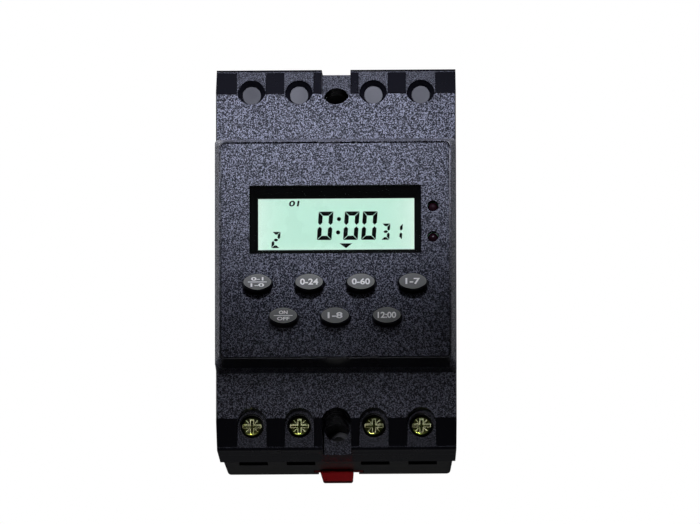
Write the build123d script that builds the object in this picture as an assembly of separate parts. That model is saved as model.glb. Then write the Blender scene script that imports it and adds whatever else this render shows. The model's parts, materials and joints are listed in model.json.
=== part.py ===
from build123d import *
import math
import os

# A programmable timer switch for a rail or a wall. +Z is up, the keys and the display face -Y,
# and the origin lies between the two wall screw holes, on the plane of the wall. All sizes are in mm.

# Case outline
case_height = 120.0
case_width = 74.0
case_depth = 54.5
wall = 2.0
base_depth = 19.5
side_draft = 0.8
base_step = 0.7
base_draft = 1.1
base_end_step = 0.2
base_corner_radius = 1.2
base_back_chamfer = 0.6
case_edge_radius = 0.6
fit_gap = 0.15

# Raised cover with the sloping sides, and the wall under it
cover_z = -1.0
cover_height = 72.0
cover_depth = 4.9
cover_overhang = 0.1
cover_corner_radius = 1.2
cover_rim = 0.3
cover_slope_side_run = 1.45
cover_slope_end_run = 1.75
pedestal_height = 7.7
cover_lip_thickness = 1.0
cover_lip_reach = 3.5

# Front panel that lies in the cover
panel_thickness = 2.2
panel_groove = 0.35
panel_corner_radius = 1.3
panel_edge_radius = 0.2
panel_skirt_gap = 0.2
panel_skirt_thickness = 1.2
panel_skirt_reach = 5.8
panel_post_radius = 2.25
panel_post_side_inset = 2.5
panel_post_end_inset = 3.0

# Shoulders, their bevels and the open channels in them
bevel_run = 9.0
bevel_depth = 5.5
channel_half_width = 4.5
channel_depth = 5.0
well_inset = 7.6
well_radius = 4.3
screw_well_radius = 3.85
blind_well_floor_radius = 2.8
blind_well_depth = 2.3
mounting_channel_depth = 12.4
mounting_channel_half_width = 4.25
mounting_channel_draft = 1.5
mounting_channel_wall = 1.6

# Wall screws
wall_screw_spacing = 104.0
wall_screw_hole_radius = 2.25
wall_screw_well_radius = 3.9
wall_screw_well_wall = 1.3
wall_screw_seat_height = 8.4

# Terminals, numbered from left to right as seen from the front
terminal_inner_x = 11.45
terminal_inset = 10.95
terminal_screw_head_radius = 3.5
terminal_screw_head_height = 2.6
terminal_screw_head_round = 1.0
terminal_screw_head_sink = 0.6
terminal_screw_shank_radius = 1.95
terminal_screw_ledge_thickness = 2.0
terminal_screw_end_gap = 0.1
screw_slot_width = 1.0
screw_slot_length = 5.6
screw_cross_length = 4.2
screw_recess_depth = 1.4
thread_pitch = 0.7
thread_gap = 0.05
ledge_hole_gap = 0.35
cage_width = 8.6
cage_length = 8.0
cage_wall = 1.2
cage_nut_thickness = 3.0
cage_foot_thickness = 1.5
cage_opening = 5.5
cage_nut_gap = 1.0
cage_travel = 5.0
cell_gap = 0.3
cell_rib_share = 0.26
cell_length = 15.8
strap_thickness = 1.5
strap_tongue_width = 5.6
strap_rib_inset = 0.2
strap_shoulder_length = 5.8
strap_tail_width = 6.0
strap_end_gap = 0.8
wire_window_width = 8.8

# Groove for a 35 mm top-hat rail, and the sliding clip
rail_width = 35.0
rail_flange_thickness = 1.0
rail_depth = 7.5
rail_gap = 0.2
rail_groove_depth = 8.0
rail_groove_floor = 2.0
rail_groove_lower_gap = 0.5
rail_hook_catch = 1.9
clip_width = 15.0
clip_thickness = 3.0
clip_gap = 0.2
clip_tab_left = 5.7
clip_tab_right = 4.6
clip_tab_left_slant = 1.0
clip_tab_right_slant = 0.25
clip_tab_reach = 3.4
clip_tab_radius = 0.7
clip_nose_chamfer = 2.0
clip_travel = 4.0
clip_lip = 1.5
clip_cover_thickness = 2.0
clip_arm_slit = 1.0
clip_arm_width = 1.6
clip_arm_length = 14.0
clip_bump_radius = 0.6

# Display window, display and its holder
window_side = 8.6
window_height = 21.5
window_z = 8.6
window_gap = 0.15
window_recess = 0.4
window_flange = 1.4
window_flange_thickness = 1.0
display_view_side = 2.4
display_view_end = 2.7
display_view_shift = 0.2
display_funnel_depth = 3.8
display_glass_side = 0.0
display_glass_end = 0.35
display_glass_thickness = 2.2
display_holder_wall = 1.2
display_holder_gap = 0.2
reflector_height = 15.2
reflector_thickness = 1.0
contact_strip_height = 3.3
contact_strip_width = 2.0
contact_strip_inset = 1.4

# Keys, their switches and the two lamps
key_half_width = 4.44
key_half_height = 2.66
key_end_radius = 1.75
key_gap = 0.4
key_proud = 4.2
key_top_radius = 0.45
key_flange = 0.9
key_flange_thickness = 1.0
key_flange_gap = 0.2
key_stem_radius = 1.6
key_travel = 0.5
key_side = 11.15
key_upper_row_z = -12.0
key_row_distance = 10.6
key_switch_size = 6.0
key_switch_height = 3.4
plunger_radius = 1.7
plunger_height = 1.6
plunger_gap = 0.1
plunger_sink = 0.5
lamp_side = 5.0
lamp_upper_z = 12.6
lamp_lower_z = 3.0
lamp_hole_radius = 1.74
lamp_radius = 1.5
lamp_flange_radius = 1.9
lamp_flange_thickness = 1.0
lamp_length = 5.3
lamp_recess = 0.8
lamp_lead_size = 0.5
lamp_lead_spread = 1.27

# Boards and what stands on them
board_thickness = 1.6
display_board_gap = 2.0
power_board_gap = 0.4
power_board_wing_gap = 1.4
power_board_top = 33.0
power_board_wing_top = -29.0
power_board_bottom = -37.0
power_board_post_height = 2.8
power_board_post_radius = 2.6
power_board_screw_inset = 3.2
power_board_screw_upper_z = 28.0
power_board_screw_lower_z = -31.0
link_pin_count = 8
link_pin_pitch = 2.54
link_pin_size = 0.64
link_strip_height = 2.5
link_z = 27.0
relay_width = 19.0
relay_height = 15.5
relay_depth = 15.3
relay_corner_radius = 1.0
relay_x = -13.0
relay_z = -18.0
film_capacitor_width = 18.0
film_capacitor_height = 8.5
film_capacitor_depth = 14.0
film_capacitor_corner_radius = 0.8
film_capacitor_x = 13.0
film_capacitor_z = -20.0
filter_capacitor_radius = 5.0
filter_capacitor_depth = 12.5
filter_capacitor_groove_height = 2.0
filter_capacitor_groove_width = 0.9
filter_capacitor_groove_depth = 0.4
filter_capacitor_x = 15.0
filter_capacitor_z = 6.0
varistor_radius = 5.0
varistor_thickness = 4.0
varistor_x = -16.0
varistor_z = 2.0
resistor_radius = 2.2
resistor_length = 12.0
resistor_x = -12.0
resistor_z = 14.0
part_stand_off = 1.2
lead_size = 0.8
rectifier_size = 6.5
rectifier_depth = 2.5
rectifier_x = 4.0
rectifier_z = 18.0
processor_size = 10.0
processor_depth = 1.6
processor_x = -10.0
processor_z = -8.0
crystal_radius = 1.0
crystal_length = 6.0
crystal_x = 2.0
battery_radius = 7.75
battery_depth = 6.0
battery_side = 17.0
battery_z = -16.0

# Case screws, driven from the back, and the small screws of the two boards
case_screw_inset = 7.2
case_screw_upper_z = 38.0
case_screw_lower_z = -24.0
case_screw_radius = 1.45
case_screw_head_radius = 2.8
case_screw_head_height = 2.0
case_screw_head_sink = 4.0
case_screw_bite = 8.0
case_screw_recess_width = 0.8
case_screw_recess_depth = 1.0
case_boss_radius = 3.0
case_tube_radius = 4.2
case_boss_length = 13.0
small_screw_radius = 0.95
small_screw_head_radius = 2.0
small_screw_head_height = 1.4
small_screw_bite = 5.0
screw_hole_gap = 0.1

# Places worked out from the sizes above
panel_front_y = -case_depth
panel_back_y = panel_front_y + panel_thickness
cover_foot_y = panel_front_y + cover_depth
shoulder_y = cover_foot_y + pedestal_height
bevel_end_y = shoulder_y + bevel_depth
channel_floor_y = shoulder_y + channel_depth
split_y = -base_depth
case_half_height = case_height / 2
case_half_width = case_width / 2
case_half_width_at_split = case_half_width - side_draft
base_half_height = case_half_height - base_end_step
base_half_width_front = case_half_width_at_split - base_step
base_half_width_back = base_half_width_front - base_draft
power_board_wing_half_width = base_half_width_back - wall - power_board_wing_gap
pedestal_inner_half_width = case_half_width - wall
pedestal_inner_half_height = cover_height / 2 - wall
cover_rim_width = case_width + 2 * cover_overhang - 2 * cover_slope_side_run
cover_rim_height = cover_height - 2 * cover_slope_end_run
panel_width = cover_rim_width - 2 * cover_rim - 2 * panel_groove
panel_height = cover_rim_height - 2 * cover_rim - 2 * panel_groove
window_width = panel_width - 2 * window_side
display_glass_width = window_width - 2 * display_glass_side
display_glass_height = window_height - 2 * display_glass_end
display_view_width = window_width - 2 * display_view_side
display_view_height = window_height - 2 * display_view_end
contact_strip_length = display_glass_width - 2 * contact_strip_inset
lamp_x = panel_width / 2 - lamp_side
key_pitch = (panel_width / 2 - key_side) / 1.5
display_board_width = 2 * (pedestal_inner_half_width - display_board_gap)
display_board_height = 2 * (pedestal_inner_half_height - display_board_gap)
battery_x = display_board_width / 2 - battery_side
case_screw_x = case_half_width - case_screw_inset
power_board_half_width = case_screw_x - case_tube_radius - power_board_gap
power_board_screw_x = power_board_half_width - power_board_screw_inset
well_z = case_half_height - well_inset
wall_screw_z = wall_screw_spacing / 2
window_back_y = panel_back_y + window_flange_thickness
display_y = window_back_y + display_funnel_depth
display_back_y = display_y + display_glass_thickness
display_board_y = display_back_y + contact_strip_height
display_board_back_y = display_board_y + board_thickness
screw_ledge_y = (
    channel_floor_y + terminal_screw_head_sink + terminal_screw_head_height + terminal_screw_end_gap
)
cell_roof_y = screw_ledge_y + terminal_screw_ledge_thickness
mounting_floor_y = shoulder_y + mounting_channel_depth
strap_front_y = split_y - strap_thickness
terminal_outer_x = case_half_width - terminal_inset
terminal_xs = [-terminal_outer_x, -terminal_inner_x, terminal_inner_x, terminal_outer_x]
cell_half_width = cage_width / 2 + cell_gap
cell_rib = cell_rib_share * (terminal_outer_x - terminal_inner_x - 2 * cell_half_width)
strap_shoulder_width = 2 * (cell_half_width + cell_rib - strap_rib_inset)
cell_inner_z = -(case_half_height - wall)
cell_upper_z = -(base_half_height - wall) + cell_length
cavity_end_z = well_z - channel_half_width - wall
rail_floor_inner_y = -(rail_groove_depth + rail_groove_floor)
power_board_back_y = rail_floor_inner_y - power_board_post_height
power_board_y = power_board_back_y - board_thickness
rail_flange_back_y = -(rail_depth - rail_flange_thickness)
clip_front_y = rail_flange_back_y + rail_gap + fit_gap
clip_back_y = clip_front_y + clip_thickness
clip_slot_floor_y = clip_front_y - clip_gap
key_places = [
    ("recall", -1.5 * key_pitch, key_upper_row_z),
    ("hour", -0.5 * key_pitch, key_upper_row_z),
    ("minute", 0.5 * key_pitch, key_upper_row_z),
    ("week", 1.5 * key_pitch, key_upper_row_z),
    ("mode", -key_pitch, key_upper_row_z - key_row_distance),
    ("timer", 0.0, key_upper_row_z - key_row_distance),
    ("clock", key_pitch, key_upper_row_z - key_row_distance),
]
panel_post_x = display_board_width / 2 - panel_post_side_inset
panel_post_rise = display_board_height / 2 - panel_post_end_inset
panel_posts = [
    (side * panel_post_x, cover_z + end * panel_post_rise) for side in (-1, 1) for end in (-1, 1)
]
power_board_screws = [
    (side * power_board_screw_x, z)
    for side in (-1, 1)
    for z in (power_board_screw_upper_z, power_board_screw_lower_z)
]
case_screws = [
    (side * case_screw_x, z) for side in (-1, 1) for z in (case_screw_upper_z, case_screw_lower_z)
]


def prism(sketch, front_y, back_y):
    """A sketch drawn as seen from the front, between two depths."""
    return extrude(Plane.XZ.offset(-back_y) * sketch, amount=back_y - front_y)


def rod(x, z, radius, front_y, back_y):
    """A round bar that lies along Y."""
    return prism(Pos(x, z) * Circle(radius), front_y, back_y)


def block(low, high):
    """A box between two opposite corners."""
    size = [b - a for a, b in zip(low, high)]
    middle = [(a + b) / 2 for a, b in zip(low, high)]
    return Pos(*middle) * Box(*size)


def ring(outer_half_width, outer_half_height, thickness, corner_radius):
    """A rounded rectangular ring around the cover's centre."""
    outer = RectangleRounded(2 * outer_half_width, 2 * outer_half_height, corner_radius)
    inner = Rectangle(2 * (outer_half_width - thickness), 2 * (outer_half_height - thickness))
    return Pos(0, cover_z) * (outer - inner)


def channel_sketch(x, end, half_width, centre_z):
    """A channel that is round at its inner end and runs out through the end face."""
    reach = case_half_height - centre_z + wall
    run = Pos(x, end * (centre_z + reach / 2)) * Rectangle(2 * half_width, reach)
    return run + Pos(x, end * centre_z) * Circle(half_width)


def drive_recess(x, z, face_y, slot_length, cross_length, width, depth):
    """A slot with a shorter bar across it, cut into a screw head that faces -Y."""
    bars = Rectangle(slot_length, width) + Rectangle(width, cross_length)
    return prism(Pos(x, z) * bars, face_y - depth, face_y + depth)


def oval(x, z, grow):
    """A key's outline, drawn with four arcs and grown by the same amount all round."""
    half_width = key_half_width + grow
    half_height = key_half_height + grow
    end_radius = key_end_radius + grow
    end_centre_x = half_width - end_radius
    rise = half_height - end_radius
    side_radius = (end_centre_x**2 + half_height**2 - end_radius**2) / (2 * rise)
    ratio = end_radius / (side_radius - end_radius)
    joint_x = end_centre_x * (1 + ratio)
    joint_z = (side_radius - half_height) * ratio
    arcs = [
        ThreePointArc((joint_x, -joint_z), (half_width, 0), (joint_x, joint_z)),
        ThreePointArc((joint_x, joint_z), (0, half_height), (-joint_x, joint_z)),
        ThreePointArc((-joint_x, joint_z), (-half_width, 0), (-joint_x, -joint_z)),
        ThreePointArc((-joint_x, -joint_z), (0, -half_height), (joint_x, -joint_z)),
    ]
    return Pos(x, z) * make_face(Curve() + arcs)


def upper_shell_outline():
    """The front shell's outside: drafted sides, bevelled ends and the wall under the cover."""
    side_view = Polygon(
        (shoulder_y, -case_half_height + bevel_run),
        (bevel_end_y, -case_half_height),
        (split_y, -case_half_height),
        (split_y, case_half_height),
        (bevel_end_y, case_half_height),
        (shoulder_y, case_half_height - bevel_run),
        align=None,
    )
    end_view = Polygon(
        (-case_half_width, shoulder_y),
        (-case_half_width_at_split, split_y),
        (case_half_width_at_split, split_y),
        (case_half_width, shoulder_y),
        align=None,
    )
    end_view = fillet(end_view.vertices().group_by(Axis.Y)[0], case_edge_radius)
    body = extrude(Plane.YZ * side_view, amount=case_width, both=True)
    body = body & extrude(Plane.XY * end_view, amount=case_height, both=True)
    pedestal = Pos(0, cover_z) * RectangleRounded(case_width, cover_height, cover_corner_radius)
    return body + prism(pedestal, cover_foot_y, shoulder_y + case_edge_radius)


def upper_shell_hollow():
    """The room inside: under the cover, under the shoulders and in the two ends."""
    inner_half_width = case_half_width_at_split - wall
    front_room = prism(
        Pos(0, cover_z) * Rectangle(2 * pedestal_inner_half_width, 2 * pedestal_inner_half_height),
        cover_foot_y - wall,
        shoulder_y + wall,
    )
    main_room = block(
        (-inner_half_width, shoulder_y + wall, -cavity_end_z),
        (inner_half_width, split_y + wall, cavity_end_z),
    )
    end_half_height = case_half_height - wall
    end_rooms = block(
        (-inner_half_width, cell_roof_y, -end_half_height),
        (inner_half_width, split_y + wall, end_half_height),
    )
    return front_room + main_room + end_rooms


def upper_housing():
    """The moulded front shell with its terminal wells, ribs and screw bosses."""
    outside = upper_shell_outline()
    shell = outside - upper_shell_hollow()
    trough_half_width = mounting_channel_half_width + mounting_channel_wall
    end_half_height = case_half_height - wall
    for end in (-1, 1):
        trough = block(
            (-trough_half_width, shoulder_y + wall, cavity_end_z),
            (trough_half_width, mounting_floor_y + wall, end_half_height + wall / 2),
        )
        if end < 0:
            trough = trough.mirror(Plane.XY)
        tube_radius = wall_screw_well_radius + wall_screw_well_wall
        shell += trough & outside
        shell += rod(0, end * wall_screw_z, tube_radius, mounting_floor_y, split_y)
    for x in terminal_xs:
        for side in (-1, 1):
            inner_x = x + side * cell_half_width
            outer_x = inner_x + side * cell_rib
            shell += block(
                (min(inner_x, outer_x), cell_roof_y - wall / 2, cell_inner_z - wall / 2),
                (max(inner_x, outer_x), split_y, -cavity_end_z),
            )
    for x, z in case_screws:
        side = 1 if x > 0 else -1
        boss_front_y = split_y - case_boss_length
        web_outer_x = side * (case_half_width_at_split - wall / 2)
        shell += rod(x, z, case_boss_radius, boss_front_y, split_y)
        shell += block(
            (min(x, web_outer_x), boss_front_y, z - cell_rib / 2),
            (max(x, web_outer_x), split_y, z + cell_rib / 2),
        )
    for end in (-1, 1):
        narrow = channel_sketch(0, end, mounting_channel_half_width, well_z)
        shell -= extrude(
            Plane.XZ.offset(-mounting_floor_y) * narrow,
            amount=mounting_channel_depth + wall,
            taper=-mounting_channel_draft,
        )
        shell -= rod(0, end * wall_screw_z, wall_screw_well_radius, mounting_floor_y - wall, split_y)
        for x in terminal_xs:
            channel = channel_sketch(x, end, channel_half_width, well_z)
            shell -= prism(channel, shoulder_y - wall, channel_floor_y)
    hole_radius = terminal_screw_shank_radius + ledge_hole_gap
    for x in terminal_xs:
        shell -= rod(x, -well_z, screw_well_radius, channel_floor_y - wall, screw_ledge_y)
        shell -= rod(x, -well_z, hole_radius, screw_ledge_y - wall, cell_roof_y + wall)
        cone_middle_y = channel_floor_y + blind_well_depth / 2
        shell -= Pos(x, cone_middle_y, well_z) * Rot(90, 0, 0) * Cone(
            blind_well_floor_radius, well_radius, blind_well_depth
        )
        pocket_half_width = strap_shoulder_width / 2 + fit_gap
        shell -= block(
            (x - pocket_half_width, strap_front_y - fit_gap, strap_shoulder_low_z() - fit_gap),
            (x + pocket_half_width, split_y + wall, -cavity_end_z + wall),
        )
    for x, z in case_screws:
        pilot_front_y = split_y - case_screw_bite - screw_hole_gap
        shell -= rod(x, z, case_screw_radius + screw_hole_gap / 2, pilot_front_y, split_y + wall)
    return shell


def strap_shoulder_low_z():
    """The strap's broad part starts just above the cage."""
    return -well_z + cage_length / 2 + 2 * cell_gap


def base_housing():
    """The rear shell: rail groove, clip guide, wire windows, cells, posts and screw wells."""
    front_outline = RectangleRounded(2 * base_half_width_front, 2 * base_half_height, base_corner_radius)
    back_outline = RectangleRounded(2 * base_half_width_back, 2 * base_half_height, base_corner_radius)
    shell = loft([Plane.XZ.offset(-split_y) * front_outline, Plane.XZ * back_outline])
    shell = chamfer(shell.faces().sort_by(Axis.Y)[-1].edges(), base_back_chamfer)
    inner_half_width = base_half_width_back - wall
    inner_half_height = base_half_height - wall
    room_low = (-inner_half_width, split_y - wall, -inner_half_height)
    room_high = (inner_half_width, -wall, inner_half_height)
    shell -= block(room_low, room_high)

    groove_top = rail_width / 2 + rail_gap
    groove_bottom = -(rail_width / 2 + rail_groove_lower_gap)
    raised_low = (-inner_half_width - wall / 2, rail_floor_inner_y, groove_bottom - wall)
    raised_high = (inner_half_width + wall / 2, -wall / 2, groove_top + wall)
    shell += block(raised_low, raised_high)
    tunnel_half_width = clip_width / 2 + clip_gap
    tunnel_floor_inner_y = clip_slot_floor_y - clip_cover_thickness
    tunnel_block_half_width = tunnel_half_width + clip_bump_radius + wall
    shell += block(
        (-tunnel_block_half_width, tunnel_floor_inner_y, -inner_half_height - wall / 2),
        (tunnel_block_half_width, -wall / 2, groove_bottom),
    )
    tube_radius = wall_screw_well_radius + wall_screw_well_wall
    for end in (-1, 1):
        shell += rod(0, end * wall_screw_z, tube_radius, split_y, -wall / 2)
    for x in terminal_xs:
        for side in (-1, 1):
            inner_x = x + side * cell_half_width
            outer_x = inner_x + side * cell_rib
            shell += block(
                (min(inner_x, outer_x), split_y, -inner_half_height - wall / 2),
                (max(inner_x, outer_x), -wall / 2, cell_upper_z),
            )
    for x, z in case_screws:
        shell += rod(x, z, case_tube_radius, split_y, -wall / 2)
    for x, z in power_board_screws:
        shell += rod(x, z, power_board_post_radius, power_board_back_y, -wall / 2)

    hook_y = rail_flange_back_y + rail_gap
    shell -= block((-case_width, -rail_groove_depth, groove_bottom), (case_width, hook_y, groove_top))
    hook_z = rail_width / 2 - rail_hook_catch
    shell -= block((-case_width, hook_y - wall / 2, groove_bottom), (case_width, wall, hook_z))
    guide = block(
        (-tunnel_half_width, clip_slot_floor_y, -case_height),
        (tunnel_half_width, clip_back_y + clip_gap, groove_bottom + wall),
    )
    lip_half_width = tunnel_half_width - clip_lip
    guide += block(
        (-lip_half_width, clip_slot_floor_y, -case_height),
        (lip_half_width, wall, groove_bottom + wall),
    )
    bump_low_z = clip_arm_middle_z() - clip_travel - 2 * clip_bump_radius
    bump_high_z = clip_arm_middle_z() + 2 * clip_bump_radius
    bump_room_half_width = tunnel_half_width + clip_bump_radius
    guide += block(
        (-bump_room_half_width, clip_slot_floor_y, bump_low_z),
        (bump_room_half_width, clip_back_y + clip_gap, bump_high_z),
    )
    guide -= rod(0, -wall_screw_z, wall_screw_well_radius, clip_slot_floor_y - wall, 2 * wall)
    shell -= guide
    for end in (-1, 1):
        shell -= rod(0, end * wall_screw_z, wall_screw_well_radius, split_y - wall, -wall_screw_seat_height)
        shell -= rod(0, end * wall_screw_z, wall_screw_hole_radius, -2 * wall_screw_seat_height, wall)
    for x in terminal_xs:
        window_low = (x - wire_window_width / 2, split_y - wall, -case_half_height - wall)
        window_high = (x + wire_window_width / 2, split_y + cage_opening, -inner_half_height)
        shell -= block(window_low, window_high)
    for x, z in case_screws:
        shell -= rod(x, z, case_screw_radius + 2 * screw_hole_gap, split_y - wall, wall)
        shell -= rod(x, z, case_screw_head_radius + 2 * screw_hole_gap, -case_screw_head_sink, wall)
    for x, z in power_board_screws:
        pilot_back_y = power_board_y + small_screw_bite + screw_hole_gap
        shell -= rod(x, z, small_screw_radius + screw_hole_gap / 2, power_board_y, pilot_back_y)
    return shell


def front_cover():
    """The raised frame with four sloping sides, and the lip that seats in the front shell."""
    foot_width = case_width + 2 * cover_overhang
    foot_radius = cover_corner_radius + cover_overhang
    foot = Pos(0, cover_z) * RectangleRounded(foot_width, cover_height, foot_radius)
    rim_radius = panel_corner_radius + cover_rim
    rim = Pos(0, cover_z) * RectangleRounded(cover_rim_width, cover_rim_height, rim_radius)
    frame = loft([Plane.XZ.offset(-cover_foot_y) * foot, Plane.XZ.offset(-panel_front_y) * rim])
    lip = Pos(0, cover_z) * RectangleRounded(
        2 * (pedestal_inner_half_width - fit_gap),
        2 * (pedestal_inner_half_height - fit_gap),
        cover_corner_radius / 2,
    )
    frame += prism(lip, cover_foot_y - wall / 2, cover_foot_y + cover_lip_reach)
    seat = Pos(0, cover_z) * RectangleRounded(
        panel_width + 2 * panel_groove, panel_height + 2 * panel_groove, panel_corner_radius + panel_groove
    )
    frame -= prism(seat, panel_front_y - wall, panel_back_y)
    opening = Pos(0, cover_z) * Rectangle(
        2 * (pedestal_inner_half_width - fit_gap - cover_lip_thickness),
        2 * (pedestal_inner_half_height - fit_gap - cover_lip_thickness),
    )
    return frame - prism(opening, panel_front_y - wall, case_depth)


def front_panel():
    """The inset panel with the display opening, the key holes, the lamp holes and its posts."""
    outline = Pos(0, cover_z) * RectangleRounded(panel_width, panel_height, panel_corner_radius)
    panel = prism(outline, panel_front_y, panel_back_y)
    panel = fillet(panel.faces().sort_by(Axis.Y)[0].edges(), panel_edge_radius)
    skirt = ring(
        pedestal_inner_half_width - fit_gap - cover_lip_thickness - panel_skirt_gap,
        pedestal_inner_half_height - fit_gap - cover_lip_thickness - panel_skirt_gap,
        panel_skirt_thickness,
        cover_corner_radius / 2,
    )
    panel += prism(skirt, panel_back_y - panel_thickness / 2, panel_back_y + panel_skirt_reach)
    pilot_front_y = display_board_y - small_screw_bite - screw_hole_gap
    pilot_radius = small_screw_radius + screw_hole_gap / 2
    for x, z in panel_posts:
        panel += rod(x, z, panel_post_radius, panel_back_y - wall / 2, display_board_y)
        panel -= rod(x, z, pilot_radius, pilot_front_y, display_board_y)
    openings = Pos(0, window_z) * Rectangle(window_width, window_height)
    for z in (lamp_upper_z, lamp_lower_z):
        openings += Pos(lamp_x, z) * Circle(lamp_hole_radius)
    for name, x, z in key_places:
        openings += oval(x, z, key_gap)
    return panel - prism(openings, panel_front_y - wall, panel_back_y + wall / 2)


def display_window():
    """The clear pane: it fills the opening and rests on the panel's back by its flange."""
    pane = Pos(0, window_z) * Rectangle(window_width - 2 * window_gap, window_height - 2 * window_gap)
    flange_width = window_width + 2 * window_flange
    flange_height = window_height + 2 * window_flange
    flange = Pos(0, window_z) * Rectangle(flange_width, flange_height)
    window = prism(pane, panel_front_y + window_recess, window_back_y)
    return window + prism(flange, panel_back_y, window_back_y)


def display_holder():
    """The dark funnel between the window and the display, with the pocket for the glass."""
    pocket_width = display_glass_width + 2 * display_holder_gap
    pocket_height = display_glass_height + 2 * display_holder_gap
    outline = Pos(0, window_z) * Rectangle(
        pocket_width + 2 * display_holder_wall, pocket_height + 2 * display_holder_wall
    )
    holder = prism(outline, window_back_y, display_board_y)
    wide = Pos(0, window_z) * Rectangle(window_width, window_height)
    view_z = window_z - display_view_shift
    view = Pos(display_view_shift, view_z) * Rectangle(display_view_width, display_view_height)
    holder -= loft([Plane.XZ.offset(-window_back_y) * wide, Plane.XZ.offset(-display_y) * view])
    pocket = Pos(0, window_z) * Rectangle(pocket_width, pocket_height)
    return holder - prism(pocket, display_y, display_board_y + wall)


def display_glass():
    glass = Pos(0, window_z) * Rectangle(display_glass_width, display_glass_height)
    return prism(glass, display_y, display_back_y)


def display_reflector():
    plate = Pos(0, window_z) * Rectangle(display_glass_width, reflector_height)
    return prism(plate, display_back_y, display_back_y + reflector_thickness)


def contact_strips():
    """The two rubber strips that join the display's contacts to the board."""
    offset = display_glass_height / 2 - contact_strip_width / 2 - display_holder_gap
    strips = Part()
    for side in (-1, 1):
        strip = Pos(0, window_z + side * offset) * Rectangle(contact_strip_length, contact_strip_width)
        strips += prism(strip, display_back_y, display_board_y)
    return strips


def display_board():
    board = Pos(0, cover_z) * Rectangle(display_board_width, display_board_height)
    for x, z in panel_posts:
        board -= Pos(x, z) * Circle(small_screw_radius + screw_hole_gap)
    return prism(board, display_board_y, display_board_back_y)


def key_switches():
    """Seven push switches on the display board, each with the well that its plunger moves in."""
    switches = Part()
    front_y = display_board_y - key_switch_height
    well_back_y = front_y + plunger_sink + key_travel + 2 * plunger_gap
    for name, x, z in key_places:
        body = prism(Pos(x, z) * Rectangle(key_switch_size, key_switch_size), front_y, display_board_y)
        switches += body - rod(x, z, plunger_radius + plunger_gap, front_y - wall, well_back_y)
    return switches


def switch_plunger(x, z):
    front_y = display_board_y - key_switch_height
    return rod(x, z, plunger_radius, front_y - plunger_height, front_y + plunger_sink)


def key_button(x, z):
    """An oval key: cap, retaining flange behind the panel and a stem down to the plunger."""
    flange_front_y = panel_back_y + key_flange_gap
    flange_back_y = flange_front_y + key_flange_thickness
    cap = prism(oval(x, z, 0), panel_front_y - key_proud, flange_back_y)
    cap = fillet(cap.faces().sort_by(Axis.Y)[0].edges(), key_top_radius)
    cap += prism(oval(x, z, key_flange), flange_front_y, flange_back_y)
    plunger_front_y = display_board_y - key_switch_height - plunger_height
    return cap + rod(x, z, key_stem_radius, flange_back_y - wall / 2, plunger_front_y)


def indicator_lamps():
    """Two small lamps that look out through the panel, on leads from the display board."""
    lamps = Part()
    tip_y = panel_front_y + lamp_recess
    body_back_y = tip_y + lamp_length
    for z in (lamp_upper_z, lamp_lower_z):
        dome_centre_y = tip_y + lamp_radius
        lamp = rod(lamp_x, z, lamp_radius, dome_centre_y, body_back_y)
        lamp += Pos(lamp_x, dome_centre_y, z) * Sphere(lamp_radius)
        lamp += rod(lamp_x, z, lamp_flange_radius, body_back_y - lamp_flange_thickness, body_back_y)
        for side in (-1, 1):
            lead = Pos(lamp_x, z + side * lamp_lead_spread) * Rectangle(lamp_lead_size, lamp_lead_size)
            lamp += prism(lead, body_back_y - lamp_flange_thickness, display_board_y)
        lamps += lamp
    return lamps


def power_board():
    main_height = power_board_top - power_board_bottom
    outline = Pos(0, power_board_bottom + main_height / 2) * Rectangle(
        2 * power_board_half_width, main_height
    )
    wing_height = power_board_wing_top - power_board_bottom
    outline += Pos(0, power_board_bottom + wing_height / 2) * Rectangle(
        2 * power_board_wing_half_width, wing_height
    )
    for x, z in power_board_screws:
        outline -= Pos(x, z) * Circle(small_screw_radius + screw_hole_gap)
    return prism(outline, power_board_y, power_board_back_y)


def board_link():
    """The row of long pins between the two boards, with a plastic strip at each end."""
    row = (link_pin_count - 1) * link_pin_pitch
    strip = Pos(0, link_z) * Rectangle(row + link_pin_pitch, link_pin_pitch)
    link = prism(strip, display_board_back_y, display_board_back_y + link_strip_height)
    link += prism(strip, power_board_y - link_strip_height, power_board_y)
    for index in range(link_pin_count):
        x = index * link_pin_pitch - row / 2
        pin = Pos(x, link_z) * Rectangle(link_pin_size, link_pin_size)
        link += prism(pin, display_board_back_y, power_board_y)
    return link


def relay():
    case = Pos(relay_x, relay_z) * RectangleRounded(relay_width, relay_height, relay_corner_radius)
    return prism(case, power_board_y - relay_depth, power_board_y)


def film_capacitor():
    case = Pos(film_capacitor_x, film_capacitor_z) * RectangleRounded(
        film_capacitor_width, film_capacitor_height, film_capacitor_corner_radius
    )
    return prism(case, power_board_y - film_capacitor_depth, power_board_y)


def filter_capacitor():
    """A tall can with the rolled groove near its foot."""
    front_y = power_board_y - filter_capacitor_depth
    can = rod(filter_capacitor_x, filter_capacitor_z, filter_capacitor_radius, front_y, power_board_y)
    groove_y = power_board_y - filter_capacitor_groove_height
    neck_radius = filter_capacitor_radius - filter_capacitor_groove_depth
    groove = Circle(filter_capacitor_radius) - Circle(neck_radius)
    groove = Pos(filter_capacitor_x, filter_capacitor_z) * groove
    return can - prism(groove, groove_y - filter_capacitor_groove_width, groove_y)


def varistor():
    """A coated disc that stands on two leads."""
    centre_y = power_board_y - part_stand_off - varistor_radius
    disc = Pos(varistor_x, centre_y, varistor_z) * Cylinder(varistor_radius, varistor_thickness)
    for side in (-1, 1):
        x = varistor_x + side * varistor_radius / 2
        disc += prism(Pos(x, varistor_z) * Rectangle(lead_size, lead_size), centre_y, power_board_y)
    return disc


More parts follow.
